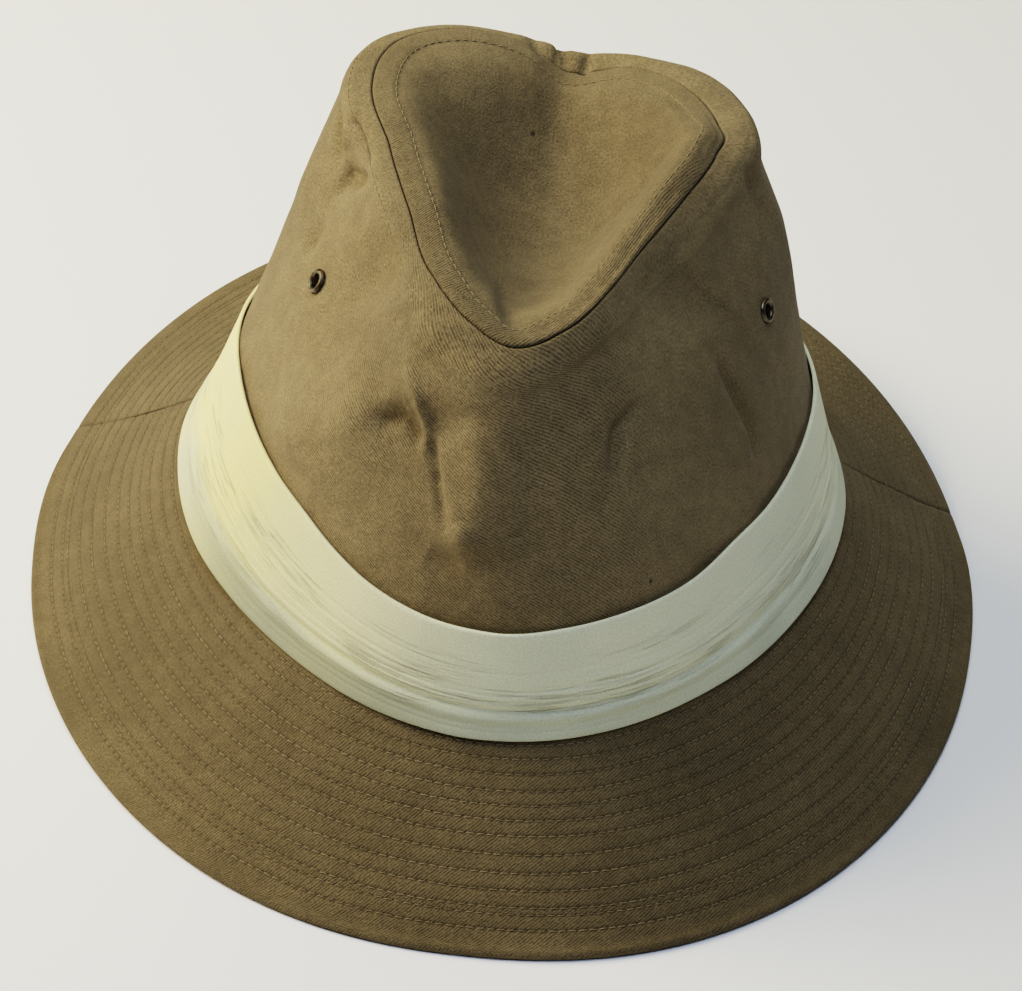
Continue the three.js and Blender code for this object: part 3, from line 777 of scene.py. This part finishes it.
TWILL = {
    "rib_pitch": 0.75, "yarn_pitch": 0.55, "yarn_lean": 0.45, "wander_scale": 0.06, "wander": 1.6,
    "fuzz": (1.5, 4.0), "fuzz_share": 1.3, "lumps": (0.45, 3.0), "lumps_bump": (0.5, 0.5),
    "broken": ((0.8, 3.0), (0.36, 0.62, 0.25, 1.0)),
    "slub_squash": (1.4, 0.35), "slub": ((1.0, 3.0), (0.3, 0.65, 0.3, 1.15)),
    "rib_ramp": (-0.4, 0.9), "yarn_ramp": (-0.8, 0.6, 0.4, 1.0), "rib_share": (1.05, -0.36),
    "weave_start": -0.1, "weave_ramp": (0.05, 1.0), "weave_bump": (0.17, 0.8),
    "wear_and_painted_light": (26.0, 4.0), "wear_ramp": (0.3, 0.7), "wear_shades": (0.88, 1.1),
    "speckle": ((240.0, 3.0), (0.3, 0.7, 0.92, 1.08)), "speck_core": 0.4, "speck_share": 0.75,
}
NEEDLE = {"ramp": (0.7, 0.2), "dark": 0.6, "depth": -0.6}
STITCH_LINE = {"ramp": (1.1, 0.0), "dark": 0.28, "depth": -0.4, "bump": (0.4, 0.8)}
THREAD_TONE = ((90.0, 2.0), (0.3, 0.7))
TARNISH = ((700.0, 4.0), (0.35, 0.7))
COTTON = {
    "streak_squash": (0.055, 1.25), "streak": ((1.0, 4.0), (0.5, 0.7)),
    "patch_squash": (0.03, 0.12), "patch": ((1.0, 2.0), (0.4, 0.62)),
    "line_rise": (3.0, 8.0), "line_fall": (30.0, 22.0), "line_share": 0.55, "line_bump": (-0.7, 0.8),
    "stain": ((22.0, 4.0), (0.42, 0.75)), "stain_share": 0.35,
    "foot_ramp": (12.5, 7.0), "foot_share": 0.5, "painted_foot_shade_ramp": (11.0, 5.0),
    "weave": (1.6, 3.0), "weave_ramp": (0.3, 0.7, 0.9, 1.06), "weave_bump": (0.16, 0.6),
}

# Stretches of the band's length that are yellowed, and darkened by painted shade, most at the foot

YELLOWED = {"rise": (10.0, 125.0), "fall": (300.0, 185.0)}
BAND_PAINTED_SHADE = {"rise": (150.0, 215.0), "fall": (320.0, 260.0), "shade": 0.82, "foot_shade": 0.7}

# Each twill: slant of its ribs in the flat cloth, and shade, a factor on its colour that paints light on
# the crown's side and shade on the brim

BRIM_TWILL = {"slant": 45.0, "shade": 0.83}
SIDE_TWILL = {"slant": -35.0, "shade": 1.15}
TIP_TWILL = {"slant": 48.0, "shade": 1.0}

# Dark specks: angle and place up the crown, and size

SIDE_SPECK = {"angle": 25.5, "at": 0.35, "size": 0.9}
TIP_SPECK = {"angle": -173.0, "at": 1.375, "size": 1.1}


# Materials

def needle_dents_and_painted_shade(s, colour, normal):
    """Presses in the cloth along the stitch lines, and most where the needle went through, and darkens it
    there with painted shade in these dents.
    """
    count, row = s.uv("rows")
    beside = s.times(s.math("PINGPONG", row, HALFWAY), LINE_GAP)
    past = s.times(s.math("PINGPONG", count, HALFWAY), STITCH["pitch"])
    needle = s.ramp(s.distance(beside, past), *NEEDLE["ramp"])
    line = s.ramp(beside, *STITCH_LINE["ramp"])
    # Painted shade in the needle holes and along the stitch lines.
    colour = s.blend(s.times(needle, NEEDLE["dark"]), colour, KHAKI_DARK)
    colour = s.blend(s.times(line, STITCH_LINE["dark"]), colour, KHAKI_DARK)
    pressed = s.linear(needle, NEEDLE["depth"], s.times(line, STITCH_LINE["depth"]))
    return colour, s.bump(pressed, *STITCH_LINE["bump"], normal)


def twill_weave(s, u, v, slant):
    """Height of the weave: ribs at this slant in the flat cloth, broken into yarns and fuzzy."""
    plainness, _ = s.uv("ribs")
    flat = s.vector(u, v)
    turn = math.radians(slant)
    across = s.math("ADD", s.times(u, -math.sin(turn)), s.times(v, math.cos(turn)))
    along = s.math("ADD", s.times(u, math.cos(turn)), s.times(v, math.sin(turn)))
    wander = s.noise(flat, TWILL["wander_scale"])
    across = s.math("ADD", across, s.linear(wander, TWILL["wander"], -TWILL["wander"] / 2))
    rib = s.math("SINE", s.times(across, 2 * math.pi / TWILL["rib_pitch"]))
    lean = s.linear(across, TWILL["yarn_lean"], along)
    yarn = s.math("SINE", s.times(lean, 2 * math.pi / TWILL["yarn_pitch"]))
    fuzz = s.noise(flat, *TWILL["fuzz"])
    broken = s.patches(flat, TWILL["broken"])
    slub = s.patches(s.scaled(across, along, TWILL["slub_squash"]), TWILL["slub"])
    shown = s.times(s.times(broken, slub), plainness)
    float_yarn = s.times(s.ramp(rib, *TWILL["rib_ramp"]), s.ramp(yarn, *TWILL["yarn_ramp"]))
    ribs = s.times(s.linear(float_yarn, *TWILL["rib_share"]), shown)
    return s.linear(fuzz, TWILL["fuzz_share"], s.math("ADD", ribs, TWILL["weave_start"]))


def twill(name, slant, shade, speck=None, stitched=False):
    """Khaki twill with uneven wear scaled by its shade, which is painted light on the crown's side and
    painted shade on the brim, and with a dark speck at (u, v, size) or needle dents with painted shade
    where asked.
    """
    s = Shading(name, TWILL_FINISH)
    u, v = s.uv("cloth")
    weave = twill_weave(s, u, v, slant)
    # Colour follows the weave's height: painted shade in its hollows and painted light on its floating
    # yarns.
    colour = s.blend(s.ramp(weave, *TWILL["weave_ramp"]), KHAKI_DARK, KHAKI_LIGHT)
    solid = s.solid()
    # The shade factor scales the wear patches: painted light on the crown's side, painted shade on the
    # brim.
    shades = [share * shade for share in TWILL["wear_shades"]]
    wear_and_painted_light = s.ramp(s.noise(solid, *TWILL["wear_and_painted_light"]), *TWILL["wear_ramp"], *shades)
    speckle = s.patches(solid, TWILL["speckle"])
    colour = s.shaded(colour, s.times(wear_and_painted_light, speckle))
    normal = s.bump(s.noise(s.vector(u, v), *TWILL["lumps"]), *TWILL["lumps_bump"])
    if stitched:
        colour, normal = needle_dents_and_painted_shade(s, colour, normal)
    if speck:
        speck_u, speck_v, size = speck
        far = s.distance(s.math("SUBTRACT", u, speck_u), s.math("SUBTRACT", v, speck_v))
        shown = s.ramp(far, size, TWILL["speck_core"] * size, 0.0, TWILL["speck_share"])
        colour = s.blend(shown, colour, SPECK)
    s.join(colour, s.surface.inputs["Base Color"])
    s.join(s.bump(weave, *TWILL["weave_bump"], normal), s.surface.inputs["Normal"])
    return s.material


def two_tone(name, finish, look, first, second):
    """A material that changes between two colours in soft patches."""
    s = Shading(name, finish)
    s.join(s.blend(s.patches(s.solid(), look), first, second), s.surface.inputs["Base Color"])
    return s.material


def band_material():
    """Cream cotton with fine creases along it, darkened in colour as painted shade, greyer towards its foot
    and in stains, and with painted shade over a stretch of its front-left.
    """
    s = Shading("cream_cotton", COTTON_FINISH)
    u, v = s.uv("cloth")
    streak = s.patches(s.scaled(u, v, COTTON["streak_squash"]), COTTON["streak"])
    patch = s.patches(s.scaled(u, v, COTTON["patch_squash"]), COTTON["patch"])
    stretch = lambda place, rise, fall: s.times(s.ramp(place, *rise), s.ramp(place, *fall))
    lines = s.times(s.times(streak, patch), stretch(v, COTTON["line_rise"], COTTON["line_fall"]))
    # Painted shade over a stretch of the band's front-left, darkest at its foot.
    painted_foot_shade = s.linear(s.ramp(v, *COTTON["painted_foot_shade_ramp"]), BAND_PAINTED_SHADE["foot_shade"] - 1, BAND_PAINTED_SHADE["shade"])
    painted_shade = s.linear(stretch(u, BAND_PAINTED_SHADE["rise"], BAND_PAINTED_SHADE["fall"]), s.math("SUBTRACT", painted_foot_shade, 1.0), 1.0)
    stain = s.patches(s.solid(), COTTON["stain"])
    grey = s.linear(s.ramp(v, *COTTON["foot_ramp"]), COTTON["foot_share"],
                  s.times(stain, COTTON["stain_share"]))
    colour = s.blend(stretch(u, **YELLOWED), CREAM, CREAM_YELLOW)
    colour = s.blend(s.math("MINIMUM", grey, 1.0), colour, CREAM_GREY)
    # The creases are darkened in colour: painted shade in them.
    colour = s.blend(s.times(lines, COTTON["line_share"]), colour, CREAM_LINE)
    weave = s.noise(s.vector(u, v), *COTTON["weave"])
    colour = s.shaded(colour, s.times(s.ramp(weave, *COTTON["weave_ramp"]), painted_shade))
    s.join(colour, s.surface.inputs["Base Color"])
    creased = s.bump(lines, *COTTON["line_bump"])
    s.join(s.bump(weave, *COTTON["weave_bump"], creased), s.surface.inputs["Normal"])
    return s.material


# Crown and brim laid flat: radius of the circle, share of the angle

CROWN_PATTERN = {"radius": 235.0, "turn": 0.48}
BRIM_PATTERN = {"radius": 128.0, "turn": 0.74}
CROWN_HEIGHT = 118.0

# Where the search for the side's stitch line starts up the crown, and the angles between which it is sewn

STRIP_FROM = 0.86
SIDE_STITCHED = (-128.0, -22.0)

# How plainly the ribs of the twill show: at the sides and back, then in front between these angles.
# On the tip they show near the seam alone, fading out between two distances from it.

CROWN_RIBS = {"least": 0.25, "most": 1.1, "rise": (-62.0, -24.0), "fall": (34.0, 8.0)}
TIP_RIBS = {"least": 0.15, "most": 1.4, "rise": (-125.0, -85.0), "fall": (110.0, 70.0)}
TIP_RIBS_NEAR = (9.5, 6.5)
BRIM_RIBS = {"least": 0.4, "most": 1.0, "rise": (-60.0, -20.0), "fall": (75.0, 30.0)}


# Crown

def ribs_shown(angles, ribs, rows, share=1.0):
    front = window(ribs["rise"], ribs["fall"], wrapped(angles))
    shown = mix(ribs["least"], ribs["most"], front[None, :] * share)
    shown = np.broadcast_to(shown, (rows, len(angles)))
    return np.stack([shown, shown], -1)


def crown_flat(angle, at):
    return cone_pattern(angle, -CROWN_HEIGHT * at, **CROWN_PATTERN)


def open_eyelet_holes(points, keep):
    """Takes out the faces at each eyelet and eases the cloth round it out to the barrel."""
    middles = (points[:-1, :-1] + points[1:, 1:]) / 2
    for _, angle, at in EYELETS:
        centre = crown_point(angle, at)
        axis = face_normal(crown_point, angle, at)
        flat = lambda places: (places - centre) - ((places - centre) @ axis)[..., None] * axis
        close = lambda places: norm(places - centre) < EYELET_HOLE["reach"]
        keep &= ~(close(middles) & (norm(flat(middles)) < EYELET_HOLE["cut"]))
        side = flat(points)
        far = norm(side)
        near = (far < EYELET_HOLE["blend"]) & close(points)
        share = 1 - (EYELET_HOLE["open"] / EYELET_HOLE["blend"]) ** 2
        opened = np.sqrt(EYELET_HOLE["open"] ** 2 + share * far[near] ** 2)
        points[near] += side[near] * (opened / np.maximum(far[near], TINY) - 1)[:, None]
    return points, keep


def crown_grid(angles, rows, strip):
    """Rows of (place, depth below the outer face) on the crown, with relief on both faces of the cloth."""
    at, depth = np.array(rows).T[..., None]
    angle, at = np.broadcast_arrays(angles[None, :], at)
    base = crown_point(angle, at)
    normals = face_normal(crown_point, angle, at)
    relief = crown_relief(base, angle, at, strip)
    return base + normals * (relief - depth)[..., None], normals


def crown_side(material, thread):
    outer = spaced(*SIDE_OUTER)
    rows = [(at, 0.0) for at in outer] + SIDE_EDGE + [(at, CROWN_CLOTH) for at in spaced(SIDE_INNER)]
    angles = round_steps(CROWN_STEPS)
    points, normals = crown_grid(angles[:-1], rows, SIDE_STRIP)
    keep = np.ones((len(rows) - 1, CROWN_STEPS), bool)
    opened, keep = open_eyelet_holes(closed(points, 1), keep)
    flat = crown_flat(angles[None, :], np.array(rows)[:, :1])
    ribs = ribs_shown(angles, CROWN_RIBS, len(rows))
    mesh = grid_mesh("crown_side_cloth", opened[:, :-1], {"cloth": flat, "ribs": ribs}, True, True, keep)
    add_piece(mesh, material, "crown_twill", "crown_side")
    near = np.flatnonzero(outer > STRIP_FROM)[::-1]
    line = line_at(points[near], normals[near], distance_to(points[near], SEAM_TRAIL), SIDE_STRIP["width"])
    sewn = (angles > SIDE_STITCHED[0]) & (angles < SIDE_STITCHED[1])
    places = stitch_places(*(table[sewn] for table in line))
    add_piece(thread_mesh("side_stitches", [places], SEEDS["side_stitches"]), thread, "crown_twill")


def tip_flat(angles, points):
    """The tip laid flat: columns keep their plan direction and their length from the floor of the dent."""
    out = lengths_along(points[::-1])[::-1]
    ways = unit(crown_point(angles, SEAM_AT)[..., :2] - DENT_FLOOR[:2])
    return DENT_FLOOR[:2] + ways[None] * out[..., None]


def crown_tip(material, thread):
    inner = [(at, CROWN_CLOTH) for at in spaced(TIP_INNER)]
    rows = inner + TIP_EDGE + [(at, 0.0) for at in spaced(*TIP_OUTER)]
    angles = round_steps(TIP_STEPS)
    points, normals = crown_grid(angles[:-1], rows, TIP_STRIP)
    seam_gap = distance_to(points, SEAM_TRAIL)
    ribs = ribs_shown(angles, TIP_RIBS, len(rows), closed(smoothstep(*TIP_RIBS_NEAR, seam_gap), 1))
    flat = tip_flat(angles, closed(points, 1))
    mesh = grid_mesh("crown_tip_cloth", points, {"cloth": flat, "ribs": ribs}, True, False, None, "rows")
    add_piece(mesh, material, "crown_twill", "crown_tip")
    top = len(inner) + len(TIP_EDGE)
    line = line_at(points[top:], normals[top:], seam_gap[top:], TIP_STRIP["width"])
    places = stitch_places(*line)
    add_piece(thread_mesh("tip_stitches", [places], SEEDS["tip_stitches"]), thread, "crown_twill")


# Brim

def brim_rows():
    """Rows from the edge to the break: distance from the edge, stitch coordinate, height of the puff."""
    knots = [EDGE_ROUND] + list(STITCH_LINES) + [BRIM_WIDTH]
    rows = []
    for number, (low, high) in enumerate(zip(knots[:-1], knots[1:])):
        narrow = high - low < GAP_STEPS["narrow_below"]
        steps = GAP_STEPS["edge" if number == 0 else "narrow" if narrow else "usual"]
        puff = BRIM_PUFF["height"] * min((high - low) / LINE_GAP, BRIM_PUFF["most"])
        for share in np.arange(steps) / steps:
            raised = (4 * share * (1 - share)) ** BRIM_PUFF["flatness"]
            rows.append((mix(low, high, share), number + share, puff * raised))
    return np.array(rows + [(BRIM_WIDTH, len(knots) - 1.0, 0.0)]).T


def brim_faces(angles, start, end, slant, distances, puffs, seed):
    """Upper and lower face of one half of the brim, and the normals of its smooth form."""
    middle = (start + end) / 2
    along = (distances / BRIM_WIDTH)[:, None]
    widening = 1 + 2 * slant / (end - start) * along
    base = brim_point(middle + (angles[None, :] - middle) * widening, along)
    z, rest = base[..., 2], EDGE_REST["height"]
    base[..., 2] = (z + rest + np.sqrt((z - rest) ** 2 + EDGE_REST["soft"])) / 2
    normals = grid_normals(base)
    reach = np.hypot(base[..., 0], base[..., 1])
    to_end = np.radians(np.minimum(angles - start, end - angles))[None, :] * reach
    uneven = smoothstep(0.0, BRIM_LUMPS_FROM, distances)[:, None] * lumps(base, BRIM_LUMPS, seed)
    relief = puffs[:, None] + uneven - BRIM_SEAM["depth"] * np.exp(-(to_end / BRIM_SEAM["width"]) ** 2)
    top = base + normals * relief[..., None]
    top[..., 2] = np.maximum(top[..., 2], EDGE_REST["least"] * rest)
    under = base - normals * BRIM_CLOTH
    under[..., 2] = np.maximum(under[..., 2], EDGE_REST["clear"])
    return top, under, normals


def rounded_edge(top, under):
    """Rows round the outer edge, from the lower face to the upper one."""
    centre, arm = (top[0] + under[0]) / 2, (top[0] - under[0]) / 2
    outward = unit(top[0] - top[2]) * norm(arm)[:, None]
    turns = np.radians(EDGE_TURNS)[:, None, None]
    return centre + np.cos(turns) * arm + np.sin(turns) * outward


def stitch_uv(top, coordinates, before, total):
    """Stitch count along the nearest line, and the line's number, for the needle marks."""
    nearest = np.clip(np.round(coordinates), 1, len(STITCH_LINES))
    source = [int(np.argmin(np.abs(coordinates - line))) for line in nearest]
    table = np.full((total, top.shape[1], 2), HALFWAY)
    table[before:before + len(top), :, 0] = lengths_along(top, 1)[source] / STITCH["pitch"]
    table[before:before + len(top), :, 1] = np.maximum(coordinates, HALFWAY)[:, None]
    return table


def brim_half(name, start, end, slant, steps, material, thread):
    seed = SEEDS[name]
    angles = round_steps(steps, start, end)
    distances, coordinates, puffs = brim_rows()
    top, under, normals = brim_faces(angles, start, end, slant, distances, puffs, seed)
    edge = rounded_edge(top, under)
    under_rows = list(range(len(distances) - 1, 0, -UNDER_SKIP)) + [0]
    points = np.concatenate([edge, top, under[under_rows]])
    edge_run = -BRIM_CLOTH / 2 * np.radians(EDGE_TURNS)
    run = np.concatenate([edge_run, distances, distances[under_rows]])[:, None]
    layers = {
        "cloth": cone_pattern(angles[None, :] - (start + end) / 2, BRIM_WIDTH - run, **BRIM_PATTERN),
        "rows": stitch_uv(top, coordinates, len(edge), len(points)),
        "ribs": ribs_shown(angles, BRIM_RIBS, len(points)),
    }
    mesh = grid_mesh(name + "_cloth", points, layers, False, True, None, "columns")
    add_piece(mesh, material, "brim_twill", name)
    lines = [int(np.argmin(np.abs(distances - line))) for line in STITCH_LINES]
    places = [stitch_places(top[row], normals[row]) for row in lines]
    add_piece(thread_mesh(name + "_stitches", places, seed + 1), thread, "brim_twill")


# Hatband

def band_faces(angles):
    """Outer and inner stations of the band, from its foot on the brim to its upper edge."""
    rise = round_column(BAND_ROWS, angles, 1) / CROWN_HEIGHT
    flare = round_column(BAND_ROWS, angles, 2)
    faces = []
    for cloth in (BAND_CLOTH, 0.0):
        stations = []
        for share, (at, stand_off) in zip(BAND_SHARES, BAND_STATIONS):
            place = at + rise * share
            out = stand_off + cloth + flare * (1 - share) ** FLARE_POWER
            normal = face_normal(crown_point, angles, place)
            stations.append(crown_point(angles, place) + out[:, None] * normal)
        faces.append(np.stack(stations))
    return faces


def band_rows(stations, shares):
    count = stations.shape[1]
    return np.stack([cubic(BAND_SHARES, stations, np.full(count, share)) for share in shares])


def band_relief(shares, angles, points):
    share, angle = np.broadcast_arrays(shares[:, None], angles[None, :])
    plan = points * np.array([1.0, 1.0, 0.0])
    wander = lumps(plan, ((BAND_WANDER["size"], 1.0),), SEEDS["band_wander"]) * BAND_WANDER["share"]
    height = lumps(points, BAND_LUMPS, SEEDS["band_lumps"])
    for place, start, end, width, depth in BAND_FOLDS:
        fade = 1.0
        if end - start < 360:
            fade = window((start, start + BAND_FOLD_FADE), (end, end - BAND_FOLD_FADE), angle)
        height -= depth * fade * np.exp(-((share - place - wander) / width) ** 2)
    hem = BAND_HEM["share"]
    return height * smoothstep(0.0, hem, share) * smoothstep(1.0, 1 - hem, share)


def hatband(material):
    angles = round_steps(BAND_STEPS)
    around = angles[:-1]
    outer_stations, inner_stations = band_faces(around)
    shares = np.concatenate([BAND_LOWER_HEM, spaced(BAND_FACE), BAND_UPPER_HEM])
    outer = band_rows(outer_stations, shares)
    reach = BAND_HEM["round_reach"]
    near_hem = np.exp(-shares / reach) + np.exp(-(1 - shares) / reach)
    relief = band_relief(shares, around, outer) - (BAND_HEM["round"] * near_hem)[:, None]
    outer = outer + grid_normals(outer) * relief[..., None]
    inner_shares = spaced(BAND_INNER)
    points = np.concatenate([outer, band_rows(inner_stations, inner_shares)])
    length = lengths_along(closed(outer[BAND_MEASURED_ROW]))
    height = np.concatenate([shares, inner_shares]) * BAND_CLOTH_HEIGHT
    flat = np.stack(np.broadcast_arrays(length[None, :], height[:, None]), -1)
    mesh = grid_mesh("hatband_cloth", points, {"cloth": flat}, True, True)
    add_piece(mesh, material, "band_cotton", "hatband")


# Eyelets

def eyelet(name, angle, at, material):
    centre = crown_point(angle, at)
    axis = face_normal(crown_point, angle, at)
    side = unit(np.cross(axis, [0.0, 0.0, 1.0]))
    other = np.cross(axis, side)
    turns = np.radians(np.linspace(0, 360, EYELET_SIDES + 1)[:-1])[:, None]
    ring = np.cos(turns) * side + np.sin(turns) * other
    rings = [centre + axis * height + radius * ring for radius, height in EYELET_PROFILE]
    mesh = grid_mesh(name + "_ring", np.stack(rings)[:, ::-1], {}, True)
    add_piece(mesh, material, "eyelet_metal", name)


# The hat

crown_thread = two_tone("crown_thread", THREAD_FINISH, THREAD_TONE, KHAKI_LIGHT, THREAD)
# The brim's thread is given a darker colour than the crown's: painted shade on the brim's stitches.
brim_thread = two_tone("brim_thread", THREAD_FINISH, THREAD_TONE, KHAKI, THREAD_DULL)
brim_cloth = twill("brim_khaki_twill", **BRIM_TWILL, stitched=True)
side_speck = crown_flat(np.array(SIDE_SPECK["angle"]), np.array(SIDE_SPECK["at"])).tolist()
side_cloth = twill("crown_khaki_twill", **SIDE_TWILL, speck=side_speck + [SIDE_SPECK["size"]])
tip_speck = crown_point(TIP_SPECK["angle"], TIP_SPECK["at"])[:2].tolist()
tip_cloth = twill("tip_khaki_twill", **TIP_TWILL, speck=tip_speck + [TIP_SPECK["size"]])
brass = two_tone("tarnished_brass", BRASS_FINISH, TARNISH, BRASS_DARK, BRASS)

crown_side(side_cloth, crown_thread)
crown_tip(tip_cloth, crown_thread)
seam_half = math.degrees(BRIM_SEAM_GAP / 2 / EDGE_OVAL["half_width"])
front_end = BRIM_SEAM_ANGLE - seam_half
back_start = BRIM_SEAM_ANGLE + seam_half
brim_halves = (
    ("brim_front", -front_end, front_end, -BRIM_SEAM_SLANT, BRIM_FRONT_STEPS),
    ("brim_back", back_start, 360 - back_start, BRIM_SEAM_SLANT, BRIM_BACK_STEPS),
)
for half in brim_halves:
    brim_half(*half, brim_cloth, brim_thread)
hatband(band_material())
for place in EYELETS:
    eyelet(*place, brass)


# Floor, lights and camera

FLOOR_HALF = 4.0
FLOOR_DROP = 0.0002
LIGHT_TARGET = (0.0, -0.01, 0.08)

# Lights: name, azimuth, elevation, distance, size, power, colour

LIGHTS = (
    ("key", -97, 36, 1.1, 0.8, 16.6, (1.0, 0.87, 0.61)),
    ("front", -12, 73, 1.4, 1.0, 6.8, (0.82, 1.0, 1.45)),
    ("back", 180, 50, 1.4, 1.2, 4.6, (1.05, 1.0, 0.62)),
    ("top", 75, 86, 1.4, 0.8, 2.6, (1.02, 1.0, 0.78)),
)
WORLD_COLOUR = (1.0, 0.97, 0.82, 1.0)
WORLD_STRENGTH = 0.035


def add_floor():
    mesh = bpy.data.meshes.new("floor")
    low, high = -FLOOR_HALF, FLOOR_HALF
    corners = ((low, low), (high, low), (high, high), (low, high))
    mesh.from_pydata([(x, y, -FLOOR_DROP) for x, y in corners], [], [(0, 1, 2, 3)])
    mesh.materials.append(Shading("pale_floor", FLOOR_FINISH).material)
    floor = add_object("floor", mesh)


def add_light(name, azimuth, elevation, distance, size, power, colour):
    light = bpy.data.lights.new(name, "AREA")
    light.shape = "DISK"
    light.size = size
    light.energy = power
    light.color = colour
    turn, lift = math.radians(azimuth), math.radians(elevation)
    way = Vector((math.sin(turn) * math.cos(lift), -math.cos(turn) * math.cos(lift), math.sin(lift)))
    lamp = add_object(name, light)
    lamp.location = Vector(LIGHT_TARGET) + way * distance
    lamp.rotation_euler = (-way).to_track_quat("-Z", "Y").to_euler()


def add_camera():
    lift = math.radians(VIEW["elevation"])
    roll = math.radians(VIEW["roll"])
    right = Vector((1, 0, 0))
    up = Vector((0, math.sin(lift), math.cos(lift)))
    back = Vector((0, -math.cos(lift), math.sin(lift)))
    across = right * math.cos(roll) + up * math.sin(roll)
    upward = up * math.cos(roll) - right * math.sin(roll)
    data = bpy.data.cameras.new("photo_camera")
    data.sensor_fit = "HORIZONTAL"
    data.sensor_width = SENSOR_WIDTH
    data.lens = LENS
    camera = add_object("photo_camera", data)
    turn = Matrix((across, upward, back)).transposed().to_4x4()
    place = (Vector(VIEW["target"]) + back * VIEW["distance"]) * MM
    camera.matrix_world = Matrix.Translation(place) @ turn
    bpy.context.scene.camera = camera


def add_world():
    world = bpy.data.worlds.new("studio")
    world.use_nodes = True
    backdrop = world.node_tree.nodes["Background"]
    backdrop.inputs["Color"].default_value = WORLD_COLOUR
    backdrop.inputs["Strength"].default_value = WORLD_STRENGTH
    bpy.context.scene.world = world


add_floor()
for settings in LIGHTS:
    add_light(*settings)
add_world()
add_camera()
bpy.context.scene.view_settings.view_transform = "Filmic"
bpy.context.scene.view_settings.look = "High Contrast"
